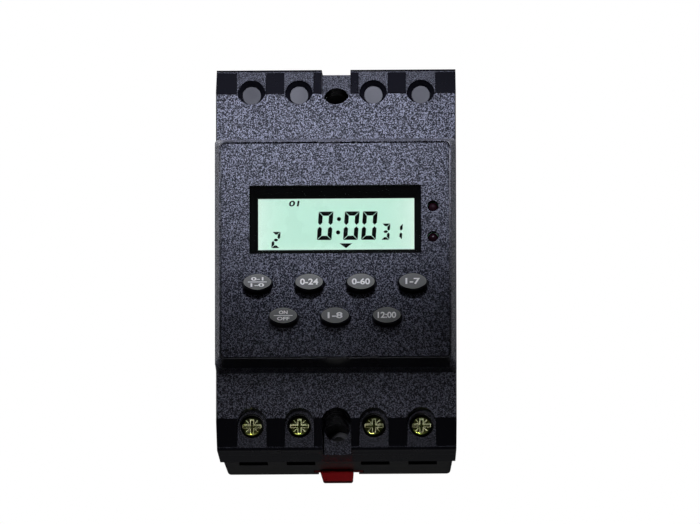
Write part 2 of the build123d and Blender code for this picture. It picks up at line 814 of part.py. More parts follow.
def dropper_resistor():
    """A large resistor that lies along X, held off the board by its bent leads."""
    centre_y = power_board_y - part_stand_off - resistor_radius
    body = Pos(resistor_x, centre_y, resistor_z) * Rot(0, 90, 0) * Cylinder(resistor_radius, resistor_length)
    reach = resistor_length / 2 + 2 * lead_size
    body += Pos(resistor_x, centre_y, resistor_z) * Box(2 * reach, lead_size, lead_size)
    for side in (-1, 1):
        x = resistor_x + side * (reach - lead_size / 2)
        leg = Pos(x, resistor_z) * Rectangle(lead_size, lead_size)
        body += prism(leg, centre_y - lead_size / 2, power_board_y)
    return body


def bridge_rectifier():
    case = Pos(rectifier_x, rectifier_z) * Rectangle(rectifier_size, rectifier_size)
    return prism(case, power_board_y - rectifier_depth, power_board_y)


def processor_chip():
    case = Pos(processor_x, processor_z) * Rectangle(processor_size, processor_size)
    return prism(case, display_board_back_y, display_board_back_y + processor_depth)


def clock_crystal():
    centre_y = display_board_back_y + crystal_radius
    return Pos(crystal_x, centre_y, processor_z) * Cylinder(crystal_radius, crystal_length)


def backup_battery():
    return rod(
        battery_x, battery_z, battery_radius, display_board_back_y, display_board_back_y + battery_depth
    )


def terminal_strap(x):
    """The copper bar: tongue in the cage, broad seat on the ribs and a bent tail to the board."""
    tongue_low_z = -(base_half_height - wall) + strap_end_gap
    shoulder_low_z = strap_shoulder_low_z()
    shoulder_high_z = shoulder_low_z + strap_shoulder_length
    tail_z = power_board_bottom + strap_tail_width / 2
    flat = Pos(x, (tongue_low_z + shoulder_low_z) / 2) * Rectangle(
        strap_tongue_width, shoulder_low_z - tongue_low_z
    )
    flat += Pos(x, (shoulder_low_z + shoulder_high_z) / 2) * Rectangle(
        strap_shoulder_width, strap_shoulder_length
    )
    flat += Pos(x, (shoulder_high_z + tail_z) / 2) * Rectangle(strap_tail_width, tail_z - shoulder_high_z)
    strap = prism(flat, strap_front_y, split_y)
    return strap + block(
        (x - strap_tail_width / 2, strap_front_y, tail_z - strap_thickness),
        (x + strap_tail_width / 2, power_board_y, tail_z),
    )


def terminal_cage(x):
    """The rising cage: threaded plate in front of the strap, foot behind it, two sides."""
    nut_back_y = strap_front_y - cage_nut_gap
    nut_front_y = nut_back_y - cage_nut_thickness
    foot_front_y = split_y + cage_opening
    foot_back_y = foot_front_y + cage_foot_thickness
    low_z = -well_z - cage_length / 2
    high_z = -well_z + cage_length / 2
    inner_half_width = cage_width / 2 - cage_wall
    cage = block((x - cage_width / 2, nut_front_y, low_z), (x + cage_width / 2, foot_back_y, high_z))
    corner_edges = cage.edges().filter_by(Axis.Z)
    cage = fillet(corner_edges, cage_wall / 2)
    cage -= block(
        (x - inner_half_width, nut_back_y, low_z - wall), (x + inner_half_width, foot_front_y, high_z + wall)
    )
    thread_radius = terminal_screw_shank_radius + thread_gap
    return cage - rod(x, -well_z, thread_radius, nut_front_y - wall, nut_back_y + wall / 2)


def terminal_screw(x):
    """The captive screw: domed head with a combined slot and cross, and its shank."""
    head_front_y = channel_floor_y + terminal_screw_head_sink
    head_back_y = head_front_y + terminal_screw_head_height
    head = rod(x, -well_z, terminal_screw_head_radius, head_front_y, head_back_y)
    head = fillet(head.faces().sort_by(Axis.Y)[0].edges(), terminal_screw_head_round)
    head -= drive_recess(
        x,
        -well_z,
        head_front_y,
        screw_slot_length,
        screw_cross_length,
        screw_slot_width,
        screw_recess_depth,
    )
    shank_end_y = strap_front_y - terminal_screw_end_gap
    return head + rod(x, -well_z, terminal_screw_shank_radius, head_back_y - wall / 4, shank_end_y)


def clip_arm_middle_z():
    """The middle of the clip's spring arms."""
    return -(rail_width / 2 + rail_groove_lower_gap) - wall - clip_arm_length / 2 - clip_travel


def din_clip():
    """The sliding clip: nose for the rail, two spring arms, screw slot and pull tab."""
    nose_z = -(rail_width / 2 - rail_hook_catch)
    foot_z = -base_half_height
    half_width = clip_width / 2
    tab_end_z = foot_z - clip_tab_reach
    outline = Polygon(
        (-half_width, nose_z),
        (-half_width, foot_z),
        (-clip_tab_left, foot_z),
        (-clip_tab_left + clip_tab_left_slant, tab_end_z),
        (clip_tab_right - clip_tab_right_slant, tab_end_z),
        (clip_tab_right, foot_z),
        (half_width, foot_z),
        (half_width, nose_z),
        align=None,
    )
    tab_corners = outline.vertices().group_by(Axis.Y)[0]
    outline = fillet(tab_corners, clip_tab_radius)
    middle_z = clip_arm_middle_z()
    bump_x = half_width - clip_gap / 2
    for side in (-1, 1):
        slit_x = side * (half_width - clip_arm_width - clip_arm_slit / 2)
        outline -= Pos(slit_x, middle_z) * Rectangle(clip_arm_slit, clip_arm_length)
        outline += Pos(side * bump_x, middle_z) * Circle(clip_bump_radius)
    plate = prism(outline, clip_front_y, clip_back_y)
    nose_edges = plate.edges().filter_by(Axis.X).group_by(Axis.Z)[-1].sort_by(Axis.Y)[-1:]
    plate = chamfer(nose_edges, clip_nose_chamfer)
    slot_radius = wall_screw_well_radius + clip_gap + fit_gap
    slot = Pos(0, -wall_screw_z) * Circle(slot_radius)
    slot += Pos(0, -wall_screw_z + clip_travel) * Circle(slot_radius)
    slot += Pos(0, -wall_screw_z + clip_travel / 2) * Rectangle(2 * slot_radius, clip_travel)
    return plate - prism(slot, clip_front_y - wall, clip_back_y + wall)


def case_screw_set():
    """Four screws that enter from the back and bite into the front shell."""
    screws = Part()
    head_front_y = -case_screw_head_sink
    head_back_y = head_front_y + case_screw_head_height
    for x, z in case_screws:
        screw = rod(x, z, case_screw_head_radius, head_front_y, head_back_y)
        screw += rod(x, z, case_screw_radius, split_y - case_screw_bite, head_front_y + wall / 4)
        screw -= drive_recess(
            x,
            z,
            head_back_y,
            screw_cross_length,
            screw_cross_length,
            case_screw_recess_width,
            case_screw_recess_depth,
        )
        screws += screw
    return screws


def panel_screw_set():
    """Four small screws that hold the display board to the panel's posts."""
    screws = Part()
    for x, z in panel_posts:
        head_back_y = display_board_back_y + small_screw_head_height
        screw = rod(x, z, small_screw_head_radius, display_board_back_y, head_back_y)
        screws += screw + rod(x, z, small_screw_radius, display_board_y - small_screw_bite, head_back_y)
    return screws


def power_board_screw_set():
    """Four small screws that hold the power board to the posts of the base."""
    screws = Part()
    for x, z in power_board_screws:
        head_front_y = power_board_y - small_screw_head_height
        screw = rod(x, z, small_screw_head_radius, head_front_y, power_board_y)
        screws += screw + rod(x, z, small_screw_radius, head_front_y, power_board_y + small_screw_bite)
    return screws


pieces = {
    "base_housing": base_housing(),
    "upper_housing": upper_housing(),
    "front_cover": front_cover(),
    "front_panel": front_panel(),
    "display_window": display_window(),
    "display_holder": display_holder(),
    "display_glass": display_glass(),
    "display_reflector": display_reflector(),
    "contact_strips": contact_strips(),
    "display_board": display_board(),
    "key_switches": key_switches(),
    "indicator_lamps": indicator_lamps(),
    "processor_chip": processor_chip(),
    "clock_crystal": clock_crystal(),
    "backup_battery": backup_battery(),
    "board_link": board_link(),
    "power_board": power_board(),
    "relay": relay(),
    "film_capacitor": film_capacitor(),
    "filter_capacitor": filter_capacitor(),
    "varistor": varistor(),
    "dropper_resistor": dropper_resistor(),
    "bridge_rectifier": bridge_rectifier(),
    "din_clip": din_clip(),
    "case_screws": case_screw_set(),
    "panel_screws": panel_screw_set(),
    "power_board_screws": power_board_screw_set(),
}
for name, x, z in key_places:
    pieces[f"{name}_key"] = key_button(x, z)
    pieces[f"{name}_plunger"] = switch_plunger(x, z)
for number, x in enumerate(terminal_xs, start=1):
    pieces[f"terminal_strap_{number}"] = terminal_strap(x)
    pieces[f"terminal_cage_{number}"] = terminal_cage(x)
    pieces[f"terminal_screw_{number}"] = terminal_screw(x)

os.makedirs("parts", exist_ok=True)
for name, piece in pieces.items():
    export_step(piece, f"parts/{name}.step")
    print(name, f"{piece.volume:.1f} mm3")

turns = cage_travel / thread_pitch
print(f"terminal screws: {turns:.3f} turns, {math.degrees(2 * math.pi * turns):.1f} degrees")
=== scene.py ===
# %% [markdown]
# # Dressing a time switch for a rail
#
# The real object is a black moulded box with a display, seven keys, four terminals and a red rail clip.
# Its solids come ready made, at their real size, and stay where they are. This lesson gives each of them its
# finish, and adds what is printed or drawn on it: the dark segments of the display, the strokes on the
# terminal screws and the marks on the keys.

# %% Load the solids
import math

import bpy
from mathutils import Matrix, Vector
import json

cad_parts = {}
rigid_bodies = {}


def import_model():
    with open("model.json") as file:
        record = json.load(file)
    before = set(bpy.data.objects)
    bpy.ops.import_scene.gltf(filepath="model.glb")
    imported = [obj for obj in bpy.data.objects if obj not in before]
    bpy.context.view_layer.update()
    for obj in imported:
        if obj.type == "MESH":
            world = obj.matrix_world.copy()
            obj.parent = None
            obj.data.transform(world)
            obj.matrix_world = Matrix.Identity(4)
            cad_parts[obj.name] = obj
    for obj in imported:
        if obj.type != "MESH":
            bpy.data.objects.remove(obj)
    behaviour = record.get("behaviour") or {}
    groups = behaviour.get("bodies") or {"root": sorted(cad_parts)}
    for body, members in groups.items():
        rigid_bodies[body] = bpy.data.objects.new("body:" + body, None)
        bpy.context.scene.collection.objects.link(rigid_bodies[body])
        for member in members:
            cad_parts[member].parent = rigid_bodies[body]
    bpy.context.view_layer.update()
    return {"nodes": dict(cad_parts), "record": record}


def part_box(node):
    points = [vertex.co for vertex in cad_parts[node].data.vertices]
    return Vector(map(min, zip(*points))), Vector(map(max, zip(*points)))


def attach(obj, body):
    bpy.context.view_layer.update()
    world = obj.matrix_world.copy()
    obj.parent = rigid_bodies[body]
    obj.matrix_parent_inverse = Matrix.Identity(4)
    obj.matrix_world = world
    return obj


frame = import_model()
nodes = frame["nodes"]
mm = 0.001

# %% [markdown]
# ## The camera
#
# The object was photographed from far away with a long lens, from a little below and a little to the right.
# A long lens keeps the sides of the case parallel. The camera is placed by the point of the front panel that
# falls in the middle of the picture, and then turned a tenth of a degree, as it was held.

# %% Camera
camera_distance = 7.0
lens_per_metre = 167.5
sensor_width = 36.0
sight_end = 40.0
camera_azimuth = math.radians(1.1)
camera_elevation = math.radians(-12.9)
camera_roll = math.radians(-0.10)
picture_middle_x = 4.53 * mm
picture_middle_z = -4.94 * mm
panel_low, panel_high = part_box("front_panel")
middle_of_picture = Vector((picture_middle_x, panel_low.y, picture_middle_z))
back = Vector((
    math.sin(camera_azimuth) * math.cos(camera_elevation),
    -math.cos(camera_azimuth) * math.cos(camera_elevation),
    math.sin(camera_elevation),
))
camera_data = bpy.data.cameras.new("camera")
camera_data.lens = lens_per_metre * camera_distance
camera_data.sensor_width = sensor_width
camera_data.clip_end = sight_end
camera = bpy.data.objects.new("camera", camera_data)
bpy.context.scene.collection.objects.link(camera)
camera.location = middle_of_picture + back * camera_distance
look = (-back).to_track_quat("-Z", "Y").to_matrix().to_4x4()
camera.rotation_euler = (look @ Matrix.Rotation(camera_roll, 4, "Z")).to_euler()
bpy.context.scene.camera = camera
print("camera at", [round(value, 3) for value in camera.location], "lens", round(camera_data.lens, 1))

# %% [markdown]
# ## Floor and light
#
# A black plastic part shows its form almost only by what it mirrors, so each light has its own task. Two
# narrow beams in front light the grain: the upper one fades down the panel, and the lower one reaches the
# terminals. Both stay clear of the direction in which the flat faces and the window mirror the camera. Boxes
# beside, behind and under the part draw its bevels and its sides. The background that the camera sees is
# white. The floor lies well under the part, because such a switch hangs on a wall. It looks pale from above
# and is clear from below, where the camera stands for the picture of the front.

# %% Floor
floor_drop = 1.1
floor_size = 6.0
floor_color = (0.10, 0.10, 0.10, 1)
floor_roughness = 0.9
floor_seen_color = (0.86, 0.86, 0.87, 1)


def clear_selection():
    """Nothing stays selected, so that the next operator acts on its own piece alone."""
    bpy.ops.object.select_all(action="DESELECT")


clear_selection()
bpy.ops.mesh.primitive_plane_add(size=floor_size, location=(0, 0, -floor_drop))
floor = bpy.context.active_object
floor.name = "floor"
floor_material = bpy.data.materials.new("pale floor")
floor_material.use_nodes = True
floor_nodes = floor_material.node_tree.nodes
floor_links = floor_material.node_tree.links
floor_shader = floor_nodes["Principled BSDF"]
floor_shader.inputs["Base Color"].default_value = floor_color
floor_shader.inputs["Roughness"].default_value = floor_roughness
pale = floor_nodes.new("ShaderNodeEmission")
pale.inputs["Color"].default_value = floor_seen_color
eye = floor_nodes.new("ShaderNodeLightPath")
seen = floor_nodes.new("ShaderNodeMixShader")
floor_links.new(eye.outputs["Is Camera Ray"], seen.inputs["Fac"])
floor_links.new(floor_shader.outputs["BSDF"], seen.inputs[1])
floor_links.new(pale.outputs["Emission"], seen.inputs[2])
side = floor_nodes.new("ShaderNodeNewGeometry")
clear = floor_nodes.new("ShaderNodeBsdfTransparent")
both = floor_nodes.new("ShaderNodeMixShader")
floor_links.new(side.outputs["Backfacing"], both.inputs["Fac"])
floor_links.new(seen.outputs["Shader"], both.inputs[1])
floor_links.new(clear.outputs["BSDF"], both.inputs[2])
floor_links.new(both.outputs["Shader"], floor_nodes["Material Output"].inputs["Surface"])
floor.data.materials.append(floor_material)
print("floor", floor_drop, "m under the middle of the case")

# %% Surroundings
room_color = (0.86, 0.88, 1.0, 1)
room_strength = 0.03
background_color = (1, 1, 1, 1)
background_strength = 1.0
surroundings = bpy.data.worlds.new("pale room")
bpy.context.scene.world = surroundings
surroundings.use_nodes = True
room_nodes = surroundings.node_tree.nodes
room_links = surroundings.node_tree.links
room_light = room_nodes["Background"]
room_light.inputs["Color"].default_value = room_color
room_light.inputs["Strength"].default_value = room_strength
white = room_nodes.new("ShaderNodeBackground")
white.inputs["Color"].default_value = background_color
white.inputs["Strength"].default_value = background_strength
ray = room_nodes.new("ShaderNodeLightPath")
chosen = room_nodes.new("ShaderNodeMixShader")
room_links.new(ray.outputs["Is Camera Ray"], chosen.inputs["Fac"])
room_links.new(room_light.outputs["Background"], chosen.inputs[1])
room_links.new(white.outputs["Background"], chosen.inputs[2])
room_links.new(chosen.outputs["Shader"], room_nodes["World Output"].inputs["Surface"])
bpy.context.scene.view_settings.view_transform = "Standard"
print("room light", room_strength, "background", background_strength)


# %% Soft boxes
def hang_light(name, data, place, aim):
    """Puts a light at its place and turns it to a point. The camera doesn't see the light itself."""
    light = bpy.data.objects.new(name, data)
    light.location = place
    light.rotation_euler = (Vector(aim) - Vector(place)).to_track_quat("-Z", "Y").to_euler()
    light.visible_camera = False
    bpy.context.scene.collection.objects.link(light)
    return light


def soft_box(name, place, aim, width, height, power, color):
    """A rectangular area light that looks at a point."""
    data = bpy.data.lights.new(name, "AREA")
    data.shape = "RECTANGLE"
    data.size = width
    data.size_y = height
    data.energy = power
    data.color = color
    hang_light(name, data, place, aim)


neutral = (1.0, 1.0, 1.0)
left_tint = (0.9, 0.93, 1.0)
right_tint = (0.95, 0.96, 1.0)
# The name, place, aim, width, height, power and colour of each box.
soft_boxes = (
    ("left strip", (-0.55, 0.62, 0.41), (0, -0.03, 0.02), 0.25, 0.36, 1.5, neutral),
    ("right strip", (0.55, 0.62, 0.41), (0, -0.03, 0.02), 0.25, 0.36, 0.7, neutral),
    ("left near box", (-0.50, 0.01, 0.11), (0, -0.04, 0.01), 0.20, 0.36, 1.1, left_tint),
    ("right near box", (0.50, 0.07, 0.11), (0, -0.02, 0.01), 0.24, 0.36, 0.7, right_tint),
    ("back box", (-0.10, 0.90, 0.60), (0, 0, 0), 0.60, 0.50, 7.0, neutral),
    ("top box", (0.0, 0.35, 0.65), (0, -0.02, 0.05), 0.70, 0.30, 3.0, neutral),
    ("under box", (0.0, 0.64, -0.66), (0, 0, -0.05), 0.80, 0.30, 0.42, neutral),
)
for box_values in soft_boxes:
    soft_box(*box_values)
print(len(soft_boxes), "soft boxes")


# %% Beams
def beam(name, place, aim, cone, wide, power, color, radius):
    """A spot light with a soft edge, wider than it is high."""
    data = bpy.data.lights.new(name, "SPOT")
    data.energy = power
    data.color = color
    data.spot_size = math.radians(cone)
    data.spot_blend = 1.0
    data.shadow_soft_size = radius
    light = hang_light(name, data, place, aim)
    light.scale = (wide, 1, 1)


upper_tint = (0.80, 0.83, 1.0)
lower_tint = (0.88, 0.89, 1.0)
# The name, place, aim, cone in degrees, width, power, colour and radius of each beam.
beams = (
    ("upper beam", (0.02, -0.62, 0.27), (-0.009, -0.05, 0.041), 11.6, 1.5, 33.0, upper_tint, 0.025),
    ("lower beam", (-0.10, -1.50, -0.04), (0, -0.04, -0.068), 3.7, 2.2, 30.0, lower_tint, 0.02),
)
for beam_values in beams:
    beam(*beam_values)
print(len(beams), "beams, and", len(bpy.data.lights), "lights in all")

# %% [markdown]
# ## Moulded grain
#
# The case was moulded in a tool that was eroded by sparks, which leaves a coarse grain of pits a third of a
# millimetre wide. Real bumps of that size would need millions of faces, so the grain is a height for a Bump
# node. It is a node group, because several plastics use it, each at its own size.


# %% Node helpers
def node(tree, kind, **values):
    """A new node, with the given values on its input sockets or its own settings."""
    made = tree.nodes.new(kind)
    for name, value in values.items():
        socket = made.inputs.get(name.replace("_", " "))
        if socket is None:
            setattr(made, name, value)
        else:
            socket.default_value = value
    return made


def maths(tree, operation, first, second=None, clamp=False):
    """One sum on values or on the sockets of other nodes, and its output."""
    made = node(tree, "ShaderNodeMath", operation=operation, use_clamp=clamp)
    for socket, value in zip(made.inputs, (first, second)):
        if value is None:
            continue
        if isinstance(value, (int, float)):
            socket.default_value = value
        else:
            tree.links.new(value, socket)
    return made.outputs[0]


def away_from(tree, value, middle):
    """How far a value lies from a middle, to either side."""
    return maths(tree, "ABSOLUTE", maths(tree, "SUBTRACT", value, middle))


def place_axes(tree):
    """A node that gives the place on the part as X, Y and Z."""
    place = node(tree, "ShaderNodeTexCoord")
    axes = node(tree, "ShaderNodeSeparateXYZ")
    tree.links.new(place.outputs["Object"], axes.inputs["Vector"])
    return axes


def new_group(name, inputs, outputs):
    """An empty node group with named number inputs and outputs of the given kinds."""
    group = bpy.data.node_groups.new(name, "ShaderNodeTree")
    for socket, value in inputs.items():
        made = group.interface.new_socket(socket, in_out="INPUT", socket_type="NodeSocketFloat")
        made.default_value = value
    for socket, kind in outputs.items():
        group.interface.new_socket(socket, in_out="OUTPUT", socket_type=kind)
    return group, group.nodes.new("NodeGroupInput"), group.nodes.new("NodeGroupOutput")


# %% Spark grain group
cell_share = 0.6
speck_level = 0.505
speck_contrast = 15.0
spark_grain, grain_in, grain_out = new_group(
    "Spark grain",
    {"Pits per metre": 2000.0},
    {"Height": "NodeSocketFloat", "Speck": "NodeSocketFloat"},
)
grain_place = node(spark_grain, "ShaderNodeTexCoord")
pits = node(spark_grain, "ShaderNodeTexNoise", Detail=2.0, Roughness=0.6)
cells = node(spark_grain, "ShaderNodeTexVoronoi", feature="SMOOTH_F1")
spark_grain.links.new(grain_place.outputs["Object"], pits.inputs["Vector"])
spark_grain.links.new(grain_place.outputs["Object"], cells.inputs["Vector"])
spark_grain.links.new(grain_in.outputs["Pits per metre"], pits.inputs["Scale"])
spark_grain.links.new(grain_in.outputs["Pits per metre"], cells.inputs["Scale"])
raised = maths(spark_grain, "MULTIPLY", cells.outputs["Distance"], cell_share)
height = maths(spark_grain, "ADD", pits.outputs["Fac"], raised)
spark_grain.links.new(height, grain_out.inputs["Height"])
speck = maths(spark_grain, "SUBTRACT", pits.outputs["Fac"], speck_level)
speck = maths(spark_grain, "MULTIPLY", speck, speck_contrast, clamp=True)
spark_grain.links.new(speck, grain_out.inputs["Speck"])

# %% [markdown]
# ## Marks of handling
#
# Even a new plastic part is not equally matt all over: oil from fingers and the flow of the plastic leave
# large soft patches. A second group gives those patches, for the roughness of every finish.

# %% Patches group
patches, patches_in, patches_out = new_group(
    "Patches",
    {"Patches per metre": 60.0, "Low": 0.4, "High": 0.5},
    {"Value": "NodeSocketFloat"},
)
patch_place = node(patches, "ShaderNodeTexCoord")
cloud = node(patches, "ShaderNodeTexNoise", Detail=4.0, Roughness=0.6)
spread = node(patches, "ShaderNodeMapRange", From_Min=0.3, From_Max=0.7)
patches.links.new(patch_place.outputs["Object"], cloud.inputs["Vector"])
patches.links.new(patches_in.outputs["Patches per metre"], cloud.inputs["Scale"])
patches.links.new(cloud.outputs["Fac"], spread.inputs["Value"])
patches.links.new(patches_in.outputs["Low"], spread.inputs["To Min"])
patches.links.new(patches_in.outputs["High"], spread.inputs["To Max"])
patches.links.new(spread.outputs["Result"], patches_out.inputs["Value"])
print("groups", [group.name for group in bpy.data.node_groups])


# %% [markdown]
# ## Plastics
#
# Each material starts in the same way: a Principled shader and patches on its roughness, and where it is
# asked for, a slight rounding of the edges. The Bevel node bends the normal near a sharp edge, so the edge
# catches the light as a moulded one does.


# %% Start of a material
def start_material(name, color, low, high, metallic=0.0, edge=0.0, per_metre=60.0, specular=0.5):
    """A material with patchy roughness between two values. Returns it, its tree and its shader."""
    material = bpy.data.materials.new(name)
    material.use_nodes = True
    tree = material.node_tree
    shader = tree.nodes["Principled BSDF"]
    shader.inputs["Base Color"].default_value = (*color, 1)
    shader.inputs["Metallic"].default_value = metallic
    shader.inputs["Specular IOR Level"].default_value = specular
    shine = node(
        tree, "ShaderNodeGroup", node_tree=patches, Patches_per_metre=per_metre, Low=low, High=high
    )
    tree.links.new(shine.outputs["Value"], shader.inputs["Roughness"])
    if edge:
        rounded = node(tree, "ShaderNodeBevel", samples=4, Radius=edge)
        tree.links.new(rounded.outputs["Normal"], shader.inputs["Normal"])
    return material, tree, shader


def add_bump(tree, shader, height, distance, strength):
    """Puts a Bump node in front of the shader, over the normal that it had."""
    bump = node(tree, "ShaderNodeBump", Strength=strength, Distance=distance)
    tree.links.new(height, bump.inputs["Height"])
    before = shader.inputs["Normal"].links
    if before:
        tree.links.new(before[0].from_socket, bump.inputs["Normal"])
    tree.links.new(bump.outputs["Normal"], shader.inputs["Normal"])


def blend_color(tree, shader, mask, second):
    """Where the mask is 1, the base colour becomes the second one."""
    mix = node(tree, "ShaderNodeMix", data_type="RGBA")
    color_in = shader.inputs["Base Color"]
    if color_in.links:
        tree.links.new(color_in.links[0].from_socket, mix.inputs[6])
    else:
        mix.inputs[6].default_value = color_in.default_value
    mix.inputs[7].default_value = (*second, 1)
    tree.links.new(mask, mix.inputs[0])
    tree.links.new(mix.outputs[2], color_in)


def add_roughness(tree, shader, extra, clamp=False):
    """Makes the finish rougher, or smoother, by a value that changes over the surface."""
    before = shader.inputs["Roughness"].links[0].from_socket
    tree.links.new(maths(tree, "ADD", before, extra, clamp=clamp), shader.inputs["Roughness"])


# %% [markdown]
# The grained plastic is used on the cover, the panel and the front shell. Some of their faces come from
# polished inserts of the tool and are smooth: the bevels between the channels and the lower slope of the
# cover. The walls of the openings in the panel, its rim and the inside of the opening in the cover are left
# smooth and dark, as painted shade. So each of the three has its own zones, which tell by place where the
# grain is.

# %% Grained plastic
black = (0.005, 0.005, 0.007)
speck_color = (0.150, 0.155, 0.192)
dark_gloss = 0.25
case_pits_per_metre = 3330.0
case_pit_depth = 0.10 * mm
case_edge = 0.12 * mm
speck_roughness = (0.32, 0.40)
pit_roughness = 0.42
smooth_extra = -0.10


def grained_plastic(name, zones):
    """Black plastic with the spark grain. The zones say where the tool left its grain and where it did not,
    and where the grain is left out as painted shade.
    """
    material, tree, shader = start_material(
        name, black, *speck_roughness, edge=case_edge, specular=dark_gloss
    )
    grain = node(
        tree, "ShaderNodeGroup", node_tree=spark_grain, Pits_per_metre=case_pits_per_metre
    )
    grain_and_shade, dull_places = zones(tree, place_axes(tree))
    height = maths(tree, "MULTIPLY", grain.outputs["Height"], grain_and_shade)
    speck = maths(tree, "MULTIPLY", grain.outputs["Speck"], grain_and_shade)
    add_bump(tree, shader, height, case_pit_depth, strength=1.0)
    blend_color(tree, shader, speck, speck_color)
    dull = maths(tree, "SUBTRACT", grain.outputs["Speck"], 1.0)
    dull = maths(tree, "MULTIPLY", dull, -pit_roughness)
    add_roughness(tree, shader, maths(tree, "MULTIPLY", dull, grain_and_shade))
    plain = maths(tree, "SUBTRACT", 1.0, grain_and_shade)
    add_roughness(tree, shader, maths(tree, "MULTIPLY", plain, smooth_extra))
    if dull_places is not None:
        add_roughness(tree, shader, dull_places)
    return material


# %% Zones of the grain
shoulder_y = -41.9 * mm
channel_floor_y = -36.9 * mm
mounting_floor_y = -29.5 * mm
well_floor_y = -34.6 * mm
# The sides of the shell lean in by 0.8 mm over 22.4 mm of depth, as the draft of the tool.
side_slope = 0.8 / 22.4
grain_edge = 0.1 * mm
flank_edge = 0.06 * mm
# Deeper than the first value on the panel, and within the second round it on the cover, the grain colour is
# left out as painted shade.
groove_shade_start = 0.25 * mm
groove_shade_width = 0.38 * mm
floor_share = 0.5
floor_extra = 0.22
well_extra = 0.22
shell_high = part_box("upper_housing")[1]


def near_depth(tree, axes, depth):
    """A mask for the faces that look forward at one depth."""
    return maths(tree, "LESS_THAN", away_from(tree, axes.outputs["Y"], depth), grain_edge)


def shell_zones(tree, axes):
    """The front shell: its shoulders, its outer sides and, more weakly, the floors of its channels."""
    front = maths(tree, "LESS_THAN", axes.outputs["Y"], shoulder_y + grain_edge)
    outward = maths(tree, "ABSOLUTE", axes.outputs["X"])
    drafted = maths(tree, "ADD", outward, maths(tree, "MULTIPLY", axes.outputs["Y"], side_slope))
    side_plane = shell_high.x + shoulder_y * side_slope
    flank = maths(tree, "GREATER_THAN", drafted, side_plane - flank_edge)
    channel_floor = near_depth(tree, axes, channel_floor_y)
    mounting_floor = near_depth(tree, axes, mounting_floor_y)
    floors = maths(tree, "ADD", channel_floor, mounting_floor)
    weak = maths(tree, "MULTIPLY", floors, floor_share)
    grain_and_shade = maths(tree, "MAXIMUM", maths(tree, "MAXIMUM", front, flank), weak)
    dull_floor = maths(tree, "MULTIPLY", floors, floor_extra)
    dull_well = maths(tree, "MULTIPLY", near_depth(tree, axes, well_floor_y), well_extra)
    return grain_and_shade, maths(tree, "ADD", dull_floor, dull_well)


def panel_zones(tree, axes):
    """The panel: its front, but not the walls of its openings and its rim, which stay dark as painted shade.
    """
    return maths(tree, "LESS_THAN", axes.outputs["Y"], panel_low.y + groove_shade_start), None


def cover_zones(tree, axes):
    """The cover: all but its lower slope and the inside of the opening that holds the panel, which stays dark
    as painted shade.
    """
    panel_middle = (panel_low + panel_high) / 2
    panel_half = (panel_high - panel_low) / 2
    outward = maths(tree, "ABSOLUTE", axes.outputs["X"])
    upward = away_from(tree, axes.outputs["Z"], panel_middle.z)
    beside = maths(tree, "GREATER_THAN", outward, panel_high.x + groove_shade_width)
    above = maths(tree, "GREATER_THAN", upward, panel_half.z + groove_shade_width)
    below = maths(tree, "LESS_THAN", axes.outputs["Z"], panel_low.z)
    slope = maths(tree, "MULTIPLY", below, maths(tree, "LESS_THAN", outward, panel_high.x))
    outside = maths(tree, "MAXIMUM", beside, above)
    return maths(tree, "SUBTRACT", outside, slope, clamp=True), None


# %% [markdown]
# The upper end of the case is one large flat face. Seen from behind, a smooth one would mirror the beam in
# front as a white plate, where the grain of the real part breaks the reflection up. More roughness on the
# faces that look up does the same, and leaves the front as it is.

# %% Dull upper end
end_dullness = 0.55
looking_up = 0.8


def dull_end(material):
    """The upper end of the case is dull, so that it doesn't mirror the light in front."""
    tree = material.node_tree
    facing = node(tree, "ShaderNodeNewGeometry")
    axes = node(tree, "ShaderNodeSeparateXYZ")
    tree.links.new(facing.outputs["Normal"], axes.inputs["Vector"])
    end = maths(tree, "GREATER_THAN", axes.outputs["Z"], looking_up)
    extra = maths(tree, "MULTIPLY", end, end_dullness)
    add_roughness(tree, tree.nodes["Principled BSDF"], extra, clamp=True)


finishes = {
    "shell_plastic": grained_plastic("front shell plastic", shell_zones),
    "cover_plastic": grained_plastic("cover plastic", cover_zones),
    "panel_plastic": grained_plastic("panel plastic", panel_zones),
}
dull_end(finishes["shell_plastic"])
print("grained", sorted(finishes))

# %% [markdown]
# The rear shell has a much finer grain that the eye reads as satin. The holder round the display is dull
# black, so that nothing shines beside the display. The parts inside have the plain colours of their trade.
# They differ in their values alone, so one function makes them all from a table.

# %% Plain plastics
plain_edge = 0.1 * mm
plain_bump = 0.6
usual_gloss = 0.5


def plain_plastic(name, color, low, high, pits_per_metre, depth, specular):
    """A moulded plastic with a fine even grain."""
    material, tree, shader = start_material(
        name, color, low, high, edge=plain_edge, specular=specular
    )
    grain = node(tree, "ShaderNodeGroup", node_tree=spark_grain, Pits_per_metre=pits_per_metre)
    add_bump(tree, shader, grain.outputs["Height"], depth, plain_bump)
    return material


